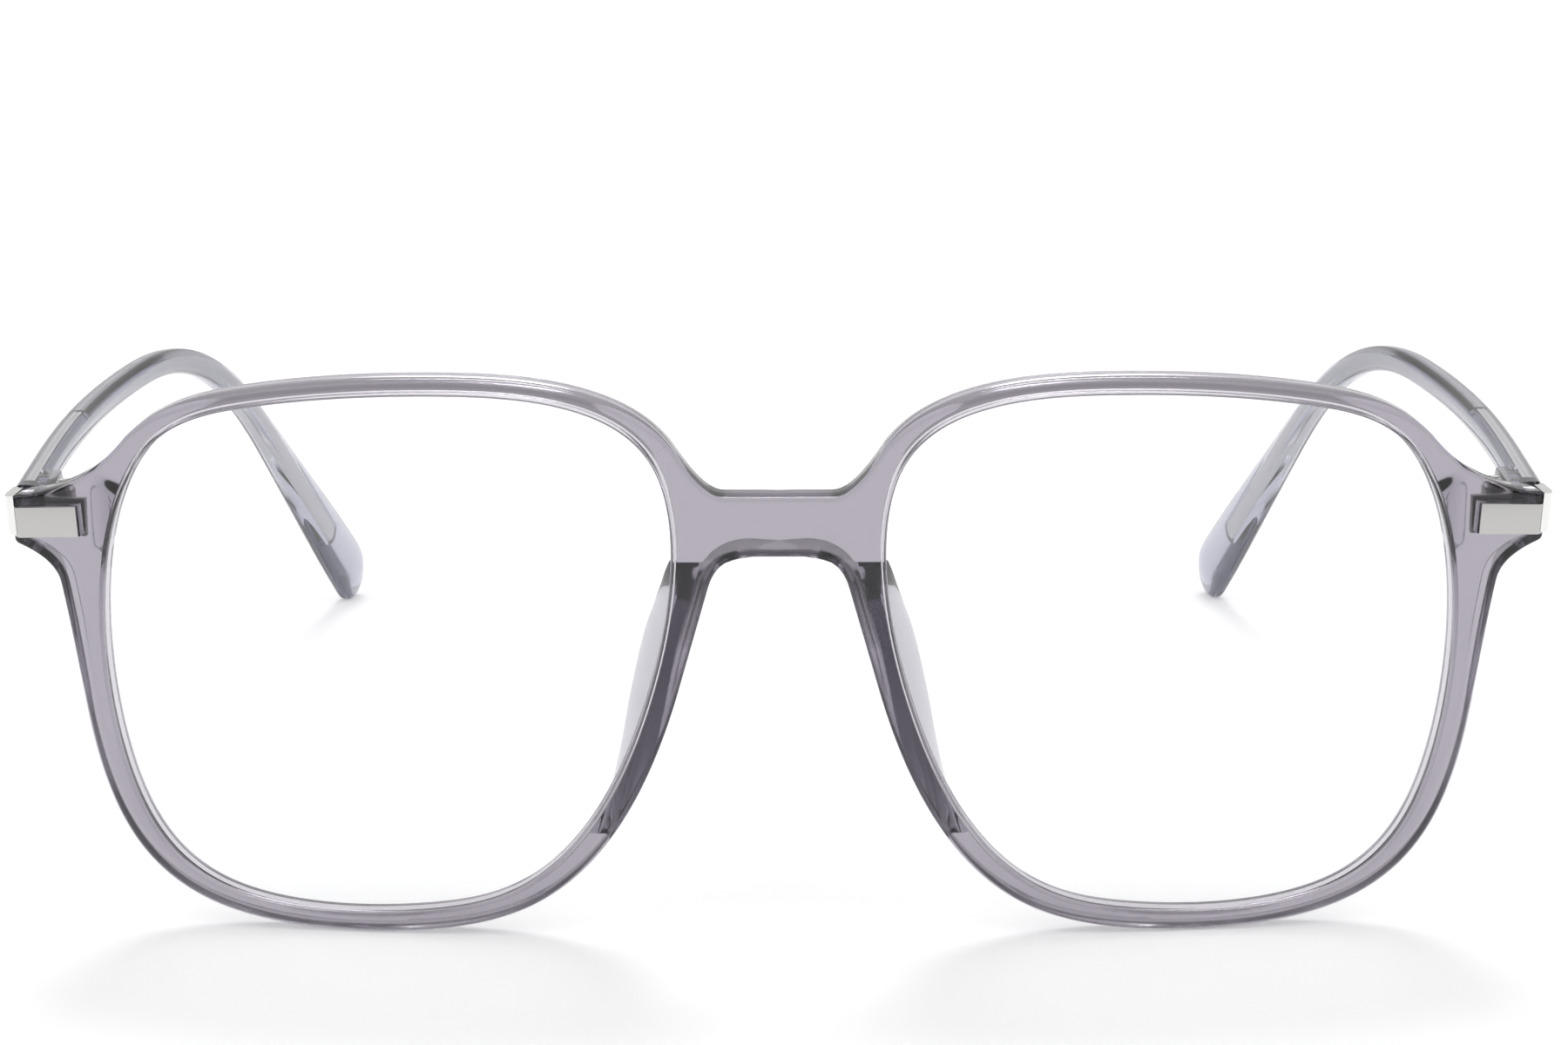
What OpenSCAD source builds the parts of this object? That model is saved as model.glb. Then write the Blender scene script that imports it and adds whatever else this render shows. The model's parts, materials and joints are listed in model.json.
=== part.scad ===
// Square eyeglasses with a clear moulded front, metal trims and barrel hinges.
// The glasses stand open on a table: +Z is up, the front looks towards -Y,
// the temples run back along +Y, and the wearer's left is on +X.

/* [Lenses] */
// Width of each lens opening
lens_w = 53; // [48:0.5:57]
// Height of each lens opening
lens_h = 50.4; // [46:0.2:54]
// Distance between the two lens openings
bridge_w = 19.8; // [17:0.2:24]
// Thickness of a lens
lens_t = 1.5; // [1.2:0.1:1.8]
// How far the lens edge reaches into its groove
lens_lip = 0.5; // [0.3:0.1:0.7]

/* [Front] */
// Thickness of the moulded front
front_t = 3.3; // [3:0.1:4]
// Radius that the front is bent to, seen from above
front_r = 390; // [300:10:600]
// Forward lean of the standing front, in degrees
front_lean = 2.8; // [1:0.2:5]
// Width of the rim above the lens
rim_top = 1.65; // [1.4:0.05:2.4]
// Width of the rim below the lens
rim_bottom = 1.9; // [1.5:0.05:2.6]
// Width of the rim at the nose and the temple
rim_side = 2.7; // [2.2:0.1:3.4]
// Height of the bridge bar
bridge_h = 5.7; // [4.5:0.1:7]
// Top of the bridge above the middle of the lenses
bridge_rise = 16; // [14:0.1:18]

/* [Endpieces] */
// How far the end of the front reaches out from the lens opening
end_reach = 8.1; // [7.8:0.1:9.5]
// Height of the endpiece at its outer end
end_h = 4.8; // [4.4:0.1:6]
// Middle of the endpiece above the middle of the lenses
end_rise = 12.2; // [10:0.1:14]
// How far the hinge block stands out behind the endpiece
block_t = 1.9; // [1.2:0.1:2]

/* [Metal trims] */
// Length of the trim bar on the face of the front
trim_w = 5.9; // [5.6:0.1:6.2]
// Height of the trim bar
trim_h = 2.9; // [2.6:0.1:3.2]
// Depth that the trim bar is let into the plastic
trim_seat = 1.6; // [1.2:0.1:1.8]
// How far the trim stands proud of the plastic
trim_proud = 0.35; // [0.2:0.05:0.6]
// Tilt of the trim bar, outer end down, in degrees
trim_tilt = 3.5; // [0:0.5:5]

/* [Nose pads] */
// How far the pads reach back behind the rims
pad_depth = 7; // [5:0.5:8]
// Extra flare of the pads away from the nose
pad_flare = 0; // [-0.5:0.1:1]
// Thickness of a pad at its back edge
pad_t = 1.3; // [1:0.1:1.6]

/* [Hinges] */
// Radius of the hinge screw
pin_r = 0.6; // [0.5:0.05:0.65]
// Running clearance between the screw and the knuckles
pin_play = 0.05; // [0.02:0.01:0.1]
// Outer radius of the knuckles
knuckle_r = 1.15; // [1.1:0.05:1.2]
// Height of one knuckle
knuckle_h = 0.78; // [0.7:0.02:0.82]
// Gap between two knuckles
knuckle_gap = 0.05; // [0.03:0.01:0.08]
// Thickness of the hinge leaves
leaf_t = 0.9; // [0.7:0.1:1]
// Radius of the rivets
rivet_r = 0.45; // [0.35:0.05:0.5]

/* [Temples] */
// Length of a temple along its middle line, from joint to tip
temple_len = 140; // [134:1:146]
// Thickness of a temple, seen from above
arm_w = 2.8; // [2.6:0.1:3.2]
// Height of a temple ahead of the ear
arm_h = 2.8; // [2.7:0.1:3.2]
// Height of the widened tip
tip_h = 7.2; // [5:0.1:8]
// Thickness of the tip
tip_w = 2.4; // [2.3:0.1:3]
// Slope of the straight part, in degrees below level
arm_drop = 0.5; // [0:0.1:3]
// Downward bend at the ear, in degrees
ear_bend = 41.5; // [36:0.1:46]
// Outward splay at the joint, in degrees
arm_splay = 1.8; // [0:0.1:3]
// Inward curve along the whole temple, in degrees
arm_curve = 18.3; // [14:0.1:20]

/* [Temple cores] */
// Thickness of the metal core strip
core_w = 1.1; // [0.9:0.1:1.2]
// Height of the core strip
core_h = 1.7; // [1.4:0.1:1.8]
// Height of the core's flat head behind the hinge
head_h = 2.1; // [1.9:0.1:2.2]
// Distance from the joint to the end of the flat head
head_end = 36; // [30:1:46]
// Bare plastic behind the end of the core
core_short = 11; // [8:1:16]

/* [Hidden] */
$fn = 48;
plastic = [0.66, 0.65, 0.72, 0.6];
metal = [0.78, 0.78, 0.77];
fit_gap = 0.1;
seat_gap = 0.05;

// Outline of the lens opening: a closed cubic spline round ten points,
// given in halves of the opening's width and height, from the temple side over the top
shape_pts = [[1.05, 0.22], [0.86, 0.84], [0.49, 0.95], [-0.13, 1.02], [-1.13, 0.97],
    [-0.92, -0.31], [-0.56, -0.89], [-0.15, -1], [0.48, -1.01], [0.92, -0.76]];
shape_n = len(shape_pts);
steps = 8;
lens_x = (bridge_w + lens_w) / 2;
lens_z = rim_bottom + lens_h / 2;
function shape_at(i) = let (p = shape_pts[(i + shape_n) % shape_n])
    [p[0] * lens_w / 2, p[1] * lens_h / 2];
function spline(u) = let (i = floor(u), t = u - i)
    ((1 - t) ^ 3 * shape_at(i - 1) + (3 * t ^ 3 - 6 * t ^ 2 + 4) * shape_at(i)
    + (1 + 3 * t + 3 * t ^ 2 - 3 * t ^ 3) * shape_at(i + 1) + t ^ 3 * shape_at(i + 2)) / 6;
function spline_dir(u) = let (i = floor(u), t = u - i,
    d = -(1 - t) ^ 2 * shape_at(i - 1) + (3 * t ^ 2 - 4 * t) * shape_at(i)
    + (1 + 2 * t - 3 * t ^ 2) * shape_at(i + 1) + t ^ 2 * shape_at(i + 2)) d / norm(d);
function lens_point(u, grow) = let (d = spline_dir(u))
    [lens_x, lens_z] + spline(u) + grow * [d[1], -d[0]];
function rim_width(d) = rim_side * d[1] ^ 2 + (d[0] < 0 ? rim_top : rim_bottom) * d[0] ^ 2;
function rim_point(u) = lens_point(u, rim_width(spline_dir(u)));
function lens_outline(grow) = [for (k = [0:steps * shape_n - 1]) lens_point(k / steps, grow)];

// Outer outline of one half of the front: bridge top, brow, endpiece, lower rim, nose, bridge underside
bridge_top = lens_z + bridge_rise;
bridge_low = bridge_top - bridge_h;
end_x = lens_x + lens_w / 2 + end_reach;
end_z = lens_z + end_rise;
end_top = end_z + end_h / 2;
end_low = end_z - end_h / 2;
u_brow = 4;
u_end_top = 1;
u_end_low = 9.6;
u_nose = 4.9;
brow_leg = 1.9;
nose_leg = 3.1;
end_leg_top = 6.8;
end_leg_low = 1.45;
knee = [end_x - 3.8, end_low - 1.35];
neck = [end_x - 4.2, end_low - 3.5];
corner = 0.5;
curve_n = 8;
function curve(a, b, c) = [for (k = [0:curve_n]) let (t = k / curve_n)
    (1 - t) ^ 2 * a + 2 * t * (1 - t) * b + t ^ 2 * c];
function after_first(points) = [for (k = [1:len(points) - 1]) points[k]];
function meet(p, d, z) = p + d * (z - p[1]) / d[1];
function rim_run(from, to) = let (n = ceil((from - to) * steps))
    [for (k = [1:n - 1]) rim_point(from + (to - from) * k / n)];
brow_hit = meet(rim_point(u_brow), spline_dir(u_brow), bridge_top);
nose_hit = meet(rim_point(u_nose), spline_dir(u_nose), bridge_low);
front_half = concat([[0, bridge_top]],
    curve([brow_hit[0] - brow_leg, bridge_top], brow_hit, rim_point(u_brow)),
    rim_run(u_brow, u_end_top),
    curve(rim_point(u_end_top), rim_point(u_end_top) - end_leg_top * spline_dir(u_end_top),
        [end_x - corner, end_top]),
    [[end_x, end_top - corner], [end_x, end_low + corner]],
    curve([end_x - corner, end_low], knee, neck),
    after_first(curve(neck, neck + end_leg_low * (neck - knee), rim_point(u_end_low))),
    rim_run(u_end_low, u_nose),
    [rim_point(u_nose)],
    curve(nose_hit + nose_leg * spline_dir(u_nose), nose_hit, [nose_hit[0] - nose_leg, bridge_low]),
    [[0, bridge_low]]);
half_n = len(front_half);
front_outline = concat(front_half, [for (k = [half_n - 2:-1:1]) [-front_half[k][0], front_half[k][1]]]);

// The bent front: depth of its face and of its back at a distance from the middle
function face_y(x) = front_r - sqrt(front_r ^ 2 - x ^ 2);
function back_y(x) = front_r - sqrt((front_r - front_t) ^ 2 - x ^ 2);
function lean(p) = [p[0], p[1] * cos(front_lean) - p[2] * sin(front_lean),
    p[1] * sin(front_lean) + p[2] * cos(front_lean)];
slab_depth = 16;

// Endpiece hardware: its own frame lies on the face of the front, centred on the trim bar
trim_x = end_x - trim_w / 2 - 0.35;
wrap = asin(trim_x / front_r);
hinge_rise = 0.1;
pin_at = [-0.5, front_t + knuckle_r + fit_gap];
pin_x = trim_x + pin_at[0] * cos(wrap) - pin_at[1] * sin(wrap);
pin_y = face_y(trim_x) + pin_at[0] * sin(wrap) + pin_at[1] * cos(wrap);
pin_z = end_z + hinge_rise;
knuckle_n = 5;
pitch = knuckle_h + knuckle_gap;
stack_h = knuckle_n * pitch - knuckle_gap;
leaf_h = stack_h - 0.5;
neck_w = 1.6;
screw_head_h = 0.45;
screw_head_r = knuckle_r - 0.15;
slot_w = 0.3;
rivet_at = -2.25;
rivet_rise = 0.75;
rivet_grip = 0.6;

// Middle line of a temple: it starts inside the joint and is walked in equal steps
joint_gap = 0.15;
arm_out = 0.55;
arm_top = 0.1;
arm_ahead = 0.8;
arm_x = end_x + arm_out - arm_w / 2;
arm_z = end_top + arm_top - arm_h / 2;
arm_start = lean([arm_x, back_y(arm_x) - arm_ahead, arm_z]);
usual_len = 140;
stretch = temple_len / usual_len;
bend_from = 59 * stretch;
bend_to = 107 * stretch;
curve_from = 10.5 * stretch;
curve_to = 103 * stretch;
flare_from = 92 * stretch;
flare_to = 138 * stretch;
walk_n = 70;
walk = temple_len / walk_n;
function ease(t) = let (c = min(1, max(0, t))) c * c * (3 - 2 * c);
function drop_at(s) = arm_drop + ear_bend * ease((s - bend_from) / (bend_to - bend_from));
function yaw_at(s) = arm_curve * ease((s - curve_from) / (curve_to - curve_from)) - arm_splay;
function ahead(s) = [-sin(yaw_at(s)) * cos(drop_at(s)), cos(yaw_at(s)) * cos(drop_at(s)), -sin(drop_at(s))];
function aside(s) = [cos(yaw_at(s)), sin(yaw_at(s)), 0];
function upward(s) = cross(aside(s), ahead(s));
arm_line = [for (k = 0, p = arm_start; k <= walk_n; k = k + 1, p = p + walk * ahead((k - 0.5) * walk)) p];
function line_at(s) = let (k = min(walk_n - 1, floor(s / walk)), t = s / walk - k)
    (1 - t) * arm_line[k] + t * arm_line[k + 1];
function arm_height(s) = arm_h + (tip_h - arm_h) * ease((s - flare_from) / (flare_to - flare_from));
function arm_width(s) = arm_w + (tip_w - arm_w) * ease((s - bend_from) / (flare_to - bend_from));

// Rounded rings along the temple, closing in to a round tip
ring_n = 16;
ring_power = 3;
tip_round = 3.4;
tip_edge = 0.3;
function tip_close(s) = let (e = max(0, 1 - (temple_len - s) / tip_round)) sqrt(max(0.004, 1 - e * e));
function ring(s) = let (w = arm_width(s) * (tip_edge + (1 - tip_edge) * tip_close(s)) / 2,
    h = arm_height(s) * tip_close(s) / 2)
    [for (k = [0:ring_n - 1]) let (a = 360 * (k + 0.5) / ring_n,
        q = (abs(cos(a)) ^ ring_power + abs(sin(a)) ^ ring_power) ^ (-1 / ring_power))
        line_at(s) + aside(s) * cos(a) * q * w + upward(s) * sin(a) * q * h];
arm_stations = concat([0, 10, 20, 32, 44, 54], [for (s = [60:4:128]) s] * stretch,
    [for (e = [1.6, 1, 0.8, 0.6, 0.4, 0.22, 0.08, 0]) temple_len - tip_round * e]);
arm_rings = [for (s = arm_stations) ring(s)];

// The whole part stands on z = 0 with its box centred on x and y
back_end = max([for (r = arm_rings) max([for (p = r) p[1]])]);
front_end = min([for (p = front_outline) lean([p[0], face_y(p[0]), p[1]])[1]]);
low_front = min([for (p = front_outline) lean([p[0], face_y(p[0]), p[1]])[2]]);
low_tip = min([for (r = arm_rings) min([for (p = r) p[2]])]);
low_end = min(low_front, low_tip);
centre_y = (back_end + front_end) / 2;

module place() {
    translate([0, -centre_y, -low_end])
        children();
}

module leant() {
    place()
        rotate([front_lean, 0, 0])
            children();
}

module at_end() {
    translate([trim_x, face_y(trim_x), end_z])
        rotate([0, 0, wrap])
            children();
}

module at_pin() {
    at_end()
        translate([pin_at[0], pin_at[1], hinge_rise])
            children();
}

module at_arm() {
    place()
        translate(arm_start)
            rotate([-arm_drop, 0, -arm_splay])
                children();
}

module other_side() {
    mirror([1, 0, 0])
        children();
}

// A slab of the bent front between two depths, cut to an outline
module bent_slab(from, to) {
    tall = lens_z + lens_h;
    intersection() {
        translate([0, slab_depth, 0])
            rotate([90, 0, 0])
                linear_extrude(slab_depth + 1)
                    children();
        translate([0, front_r, -1])
            difference() {
                cylinder(h = tall, r = front_r - from, $fn = 720);
                translate([0, 0, -1])
                    cylinder(h = tall + 2, r = front_r - to, $fn = 720);
            }
    }
}

// Top view of the trim: a bar on the face, bent round the outer end of the front
module trim_body(grow) {
    out = trim_w / 2;
    inside = out - 1.2 - grow;
    flare = out + 0.95 + grow;
    at_end()
        rotate([0, trim_tilt, 0])
            translate([0, 0, -trim_h / 2 - grow])
                linear_extrude(trim_h + 2 * grow)
                    polygon([[-out - grow, -trim_proud - grow], [out - 0.2, -trim_proud - grow],
                        [out + 0.45 + grow, 0.25], [out + 0.8 + grow, 1.2], [flare, front_t - 0.05],
                        [inside, front_t - 0.05], [inside, trim_seat + grow],
                        [-out - grow, trim_seat + grow]]);
}

module trim() {
    color(metal)
        leant()
            difference() {
                trim_body(0);
                end_rivets();
            }
}

// The two rivets through the endpiece, from the trim bar to the front leaf
module end_rivets() {
    at_end()
        for (side = [-1, 1])
            translate([rivet_at, trim_seat - rivet_grip, side * rivet_rise])
                rotate([-90, 0, 0])
                    cylinder(h = front_t - trim_seat + rivet_grip, r = rivet_r);
}

module front_rivets() {
    color(metal)
        leant()
            end_rivets();
}

module front_leaf_body() {
    at_end()
        translate([rivet_at - 0.9, front_t - leaf_t, hinge_rise - leaf_h / 2])
            cube([pin_at[0] - rivet_at + 2.1, leaf_t, leaf_h]);
}

module endpiece_cuts() {
    trim_body(seat_gap);
    front_leaf_body();
    end_rivets();
}

// The block behind the endpiece, between the lens and the hinge
module hinge_block() {
    bent_slab(front_t - 0.4, front_t + block_t)
        intersection() {
            polygon(front_outline);
            translate([lens_x + lens_w / 4, end_low + 0.3])
                square([pin_x - knuckle_r - 0.25 - lens_x - lens_w / 4, end_h + 2]);
        }
}

module both_sides() {
    children();
    other_side()
        children();
}

module front_frame() {
    color(plastic)
        leant()
            difference() {
                union() {
                    bent_slab(0, front_t)
                        polygon(front_outline);
                    both_sides()
                        hinge_block();
                }
                bent_slab(-1, front_t + block_t + 1)
                    both_sides()
                        polygon(lens_outline(0));
                bent_slab((front_t - lens_t - seat_gap) / 2, (front_t + lens_t + seat_gap) / 2)
                    both_sides()
                        polygon(lens_outline(lens_lip + seat_gap));
                both_sides()
                    endpiece_cuts();
            }
}

module lens() {
    color([0.93, 0.95, 0.97, 0.3])
        leant()
            bent_slab((front_t - lens_t) / 2, (front_t + lens_t) / 2)
                polygon(lens_outline(lens_lip));
}

// A nose pad: a fin on the back of the rim beside the nose. Each row gives the
// height over the middle of the lens, the reach past the lens edge and the share of the full depth
pad_rows = [[-17.4, 7.1, 0.06], [-14.6, 6.2, 0.32], [-11.8, 5.45, 0.53], [-9, 4.85, 0.72],
    [-6.2, 4.35, 0.86], [-3.6, 3.8, 0.95], [-1.2, 3.25, 1], [1.2, 2.6, 0.95], [3.6, 1.85, 0.76],
    [5.8, 1.2, 0.48], [7.6, 0.7, 0.24], [9.2, 0.2, 0.05]];
pad_root = 2.3;
pad_off = 0.02;
nose_table = [for (k = [0:2 * steps]) let (p = rim_point(u_nose + k / steps)) [p[1], p[0]]];
function nose_x(z) = z > rim_point(u_nose)[1] ? meet(rim_point(u_nose), spline_dir(u_nose), z)[0]
    : lookup(z, nose_table);
function pad_ring(row) = let (z = lens_z + row[0], x = nose_x(z) + 0.15, root = x + pad_root,
    tip = bridge_w / 2 + row[1] + pad_flare * row[2], deep = pad_depth * row[2],
    t = pad_t * (0.4 + 0.6 * row[2]), y = back_y(x) + pad_off, y2 = back_y(root) + pad_off)
    [[x, y, z], [x + 0.4 * (tip - t - x), y + 0.5 * deep, z], [tip - 1.05 * t, y + deep - 0.3 * t, z],
        [tip - 0.6 * t, y + deep, z], [tip - 0.15 * t, y + deep - 0.15 * t, z],
        [tip, y + deep - 0.6 * t, z], [root + 0.45 * (tip - root), y2 + 0.4 * deep, z], [root, y2, z]];

module nose_pad() {
    color(plastic)
        leant()
            swept([for (row = pad_rows) pad_ring(row)]);
}

// The knuckles of one hinge half, each with a neck towards its leaf
module knuckles(list) {
    for (k = list)
        translate([0, 0, k * pitch - stack_h / 2])
            cylinder(h = knuckle_h, r = knuckle_r);
}

module pin_hole() {
    at_pin()
        translate([0, 0, -stack_h])
            cylinder(h = 2 * stack_h, r = pin_r + pin_play);
}

// The fixed hinge half: a leaf sunk in the back of the endpiece, with three knuckles
module front_hinge() {
    low = knuckle_r + fit_gap + 0.3;
    color(metal)
        leant()
            difference() {
                union() {
                    front_leaf_body();
                    at_pin() {
                        knuckles([0, 2, 4]);
                        translate([-neck_w / 2, -low, -leaf_h / 2])
                            cube([neck_w, low, knuckle_h - 0.25]);
                        translate([-neck_w / 2, -low, -knuckle_h / 2])
                            cube([neck_w, low, knuckle_h]);
                        translate([-neck_w / 2, -low, leaf_h / 2 - knuckle_h + 0.25])
                            cube([neck_w, low, knuckle_h - 0.25]);
                    }
                }
                pin_hole();
                end_rivets();
            }
}

// The screw fills the knuckles from the top: a slotted head on a plain shank
module hinge_screw() {
    over = 0.03;
    color(metal)
        leant()
            at_pin()
                difference() {
                    translate([0, 0, -stack_h / 2])
                        union() {
                            cylinder(h = stack_h + 2 * over, r = pin_r);
                            translate([0, 0, stack_h + over])
                                cylinder(h = screw_head_h, r = screw_head_r);
                        }
                    translate([-2, -slot_w / 2, stack_h / 2 + over + screw_head_h - 0.2])
                        cube([4, slot_w, 1]);
                }
}

// Hinge half on the temple, in the frame of the temple: a leaf let into the inner face
leaf_in = pin_x + knuckle_r + fit_gap - arm_x;
leaf_mid = pin_z - arm_z;
leaf_from = pin_y - back_y(arm_x) + arm_ahead - 0.2;
leaf_len = 6.6;
boss_end = 8.6;
boss_low = leaf_mid - leaf_h / 2 - 0.5;
boss_top = arm_h / 2 - 0.15;
arm_rivets_at = [2.2, 5.2];
arm_head_t = 0.25;

module arm_rivets(r, from, to) {
    at_arm()
        for (y = arm_rivets_at)
            translate([from, leaf_from + y, 0])
                rotate([0, 90, 0])
                    cylinder(h = to - from, r = r);
}

module temple_hinge() {
    neck = knuckle_r + fit_gap + 0.45;
    color(metal)
        difference() {
            union() {
                at_arm()
                    translate([leaf_in, leaf_from, leaf_mid - leaf_h / 2])
                        cube([leaf_t, leaf_len, leaf_h]);
                leant()
                    translate([pin_x, pin_y, pin_z]) {
                        knuckles([1, 3]);
                        for (side = [-1, 1])
                            translate([0, -0.1, side * pitch - knuckle_h / 2])
                                cube([neck, 1.1, knuckle_h]);
                    }
            }
            leant()
                pin_hole();
            arm_rivets(rivet_r, leaf_in - 1, leaf_in + 2);
        }
}

module temple_rivets() {
    color(metal)
        union() {
            arm_rivets(rivet_r, leaf_in - 0.05, core_w / 2);
            arm_rivets(rivet_r + 0.35, leaf_in - arm_head_t, leaf_in - 0.005);
        }
}

module swept(rings) {
    n = len(rings);
    m = len(rings[0]);
    pts = [for (r = rings) for (p = r) p];
    faces = concat([[for (k = [m - 1:-1:0]) k]], [[for (k = [0:m - 1]) (n - 1) * m + k]],
        [for (i = [0:n - 2]) for (k = [0:m - 1]) [i * m + (k + 1) % m, (i + 1) * m + k, i * m + k]],
        [for (i = [0:n - 2]) for (k = [0:m - 1])
            [(i + 1) * m + (k + 1) % m, (i + 1) * m + k, i * m + (k + 1) % m]]);
    polyhedron(pts, faces);
}

// The metal core: a flat head behind the hinge that steps down to a long thin strip
core_from = 3;
core_step = 1.2;
core_end = temple_len - core_short;
core_stations = concat([core_from, 10, 18, 26], [head_end, head_end + core_step],
    [for (k = [1:15]) head_end + core_step + k * (core_end - 1 - head_end - core_step) / 16],
    [core_end - 1, core_end]);
function core_height(s) = s <= head_end ? head_h : s < core_end ? core_h : core_h / 2;
function core_ring(s, grow) = [for (c = [[1, 1], [-1, 1], [-1, -1], [1, -1]])
    line_at(s) + aside(s) * c[0] * (core_w / 2 + grow) + upward(s) * c[1] * (core_height(s) / 2 + grow)];

module core_body(grow) {
    place()
        swept([for (s = core_stations) core_ring(s, grow)]);
}

module temple_core() {
    color(metal)
        difference() {
            core_body(0);
            arm_rivets(rivet_r, leaf_in, core_w / 2 + 1);
        }
}

module temple_arm() {
    color(plastic)
        difference() {
            union() {
                place()
                    swept(arm_rings);
                at_arm()
                    translate([0, 0, boss_low])
                        linear_extrude(boss_top - boss_low)
                            polygon([[leaf_in, 0], [0.8, 0], [0.8, boss_end], [-arm_w / 2 + 0.2, boss_end],
                                [leaf_in, boss_end - 0.8]]);
            }
            core_body(pad_off);
            at_arm()
                translate([leaf_in - 1, leaf_from - pad_off, leaf_mid - leaf_h / 2 - pad_off])
                    cube([leaf_t + 1 + pad_off, leaf_len + 2 * pad_off, leaf_h + 2 * pad_off]);
            arm_rivets(rivet_r, leaf_in, 0);
            leant()
                joint_cut();
        }
}

// Trims the front of the temple parallel to the sloped back of the endpiece
module joint_cut() {
    inward = trim_w;
    deep = 2 * front_t;
    tall = 4 * end_h;
    at_end()
        translate([-inward, front_t + joint_gap - deep, -tall / 2])
            cube([2 * inward + arm_w, deep, tall]);
}

front_frame();
lens();  // lens_left
other_side() lens();  // lens_right
nose_pad();  // nose_pad_left
other_side() nose_pad();  // nose_pad_right
trim();  // trim_left
other_side() trim();  // trim_right
front_hinge();  // front_hinge_left
other_side() front_hinge();  // front_hinge_right
front_rivets();  // front_rivets_left
other_side() front_rivets();  // front_rivets_right
hinge_screw();  // hinge_screw_left
other_side() hinge_screw();  // hinge_screw_right
temple_hinge();  // temple_hinge_left
other_side() temple_hinge();  // temple_hinge_right
temple_rivets();  // temple_rivets_left
other_side() temple_rivets();  // temple_rivets_right
temple_core();  // temple_core_left
other_side() temple_core();  // temple_core_right
temple_arm();  // temple_arm_left
other_side() temple_arm();  // temple_arm_right
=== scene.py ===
"""Square eyeglasses in clear grey lilac plastic, standing open on a white table."""
import json
import math

import bmesh
import bpy
import numpy as np
from mathutils import Matrix, Vector


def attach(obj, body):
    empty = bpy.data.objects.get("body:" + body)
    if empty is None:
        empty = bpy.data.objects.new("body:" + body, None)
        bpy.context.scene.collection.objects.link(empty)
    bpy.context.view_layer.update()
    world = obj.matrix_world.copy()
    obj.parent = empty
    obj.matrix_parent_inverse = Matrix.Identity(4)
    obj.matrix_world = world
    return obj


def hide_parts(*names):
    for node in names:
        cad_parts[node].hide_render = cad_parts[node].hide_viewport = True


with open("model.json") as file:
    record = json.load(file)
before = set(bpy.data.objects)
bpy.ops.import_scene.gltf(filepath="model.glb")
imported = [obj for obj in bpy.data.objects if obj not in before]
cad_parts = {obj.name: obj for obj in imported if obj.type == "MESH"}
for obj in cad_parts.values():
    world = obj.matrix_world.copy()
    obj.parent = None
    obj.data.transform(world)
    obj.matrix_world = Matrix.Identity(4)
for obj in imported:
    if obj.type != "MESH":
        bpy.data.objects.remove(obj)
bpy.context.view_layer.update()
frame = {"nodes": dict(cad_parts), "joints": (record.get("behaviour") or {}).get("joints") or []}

# The front
# One injection moulding of clear grey lilac plastic: two rims, the bridge and two endpieces.
# It is bent to a wide curve seen from above and stands leaning a little towards the front.
mm = 0.001
lens_wide = 53.0
lens_tall = 50.4
bridge_wide = 19.8
rim_top = 1.65
rim_bottom = 1.9
rim_side = 2.7
front_thick = 3.3
front_bend = 390.0
front_lean = math.radians(2.8)
bridge_rise = 16.0
bridge_tall = 5.7
end_reach = 8.1
end_tall = 4.8
end_rise = 12.2
lens_middle = np.array([(bridge_wide + lens_wide) / 2, rim_bottom + lens_tall / 2])
bridge_top = lens_middle[1] + bridge_rise
bridge_low = bridge_top - bridge_tall
end_x = lens_middle[0] + lens_wide / 2 + end_reach
end_z = lens_middle[1] + end_rise
end_top = end_z + end_tall / 2
end_low = end_z - end_tall / 2
opening_shape = np.array([
    [1.05, 0.22], [0.86, 0.84], [0.49, 0.95], [-0.13, 1.02], [-1.13, 0.97],
    [-0.92, -0.31], [-0.56, -0.89], [-0.15, -1.0], [0.48, -1.01], [0.92, -0.76],
]) * (lens_wide / 2, lens_tall / 2)


def opening_at(u):
    """Points of the lens opening, the way along it and the way out of it."""
    u = np.atleast_1d(np.asarray(u, float)) % len(opening_shape)
    i = np.floor(u).astype(int)
    t = (u - i)[:, None]
    a, b, c, d = (opening_shape[(i + k) % len(opening_shape)] for k in (-1, 0, 1, 2))
    point = (1 - t) ** 3 * a + (3 * t**3 - 6 * t**2 + 4) * b
    point = (point + (1 + 3 * t + 3 * t**2 - 3 * t**3) * c + t**3 * d) / 6
    along = -((1 - t) ** 2) * a + (3 * t**2 - 4 * t) * b + (1 + 2 * t - 3 * t**2) * c + t**2 * d
    along /= np.linalg.norm(along, axis=1)[:, None]
    return lens_middle + point, along, np.stack([along[:, 1], -along[:, 0]], 1)


def rim_at(u):
    """Points of the rim's outer edge."""
    point, along, out = opening_at(u)
    level = np.where(along[:, 0] < 0, rim_top, rim_bottom)
    return point + out * (rim_side * along[:, 1] ** 2 + level * along[:, 0] ** 2)[:, None]


def curve_between(a, b, c, n):
    """A curve from a to c that leaves and arrives along the lines to b."""
    t = np.linspace(0, 1, n)[:, None]
    return (1 - t) ** 2 * np.array(a) + 2 * t * (1 - t) * np.array(b) + t**2 * np.array(c)


def spread(points, n):
    """The same path with n evenly spaced points."""
    step = np.r_[0, np.cumsum(np.linalg.norm(np.diff(points, axis=0), axis=1))]
    want = np.linspace(0, step[-1], n)
    return np.stack([np.interp(want, step, points[:, k]) for k in (0, 1)], 1)


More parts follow.
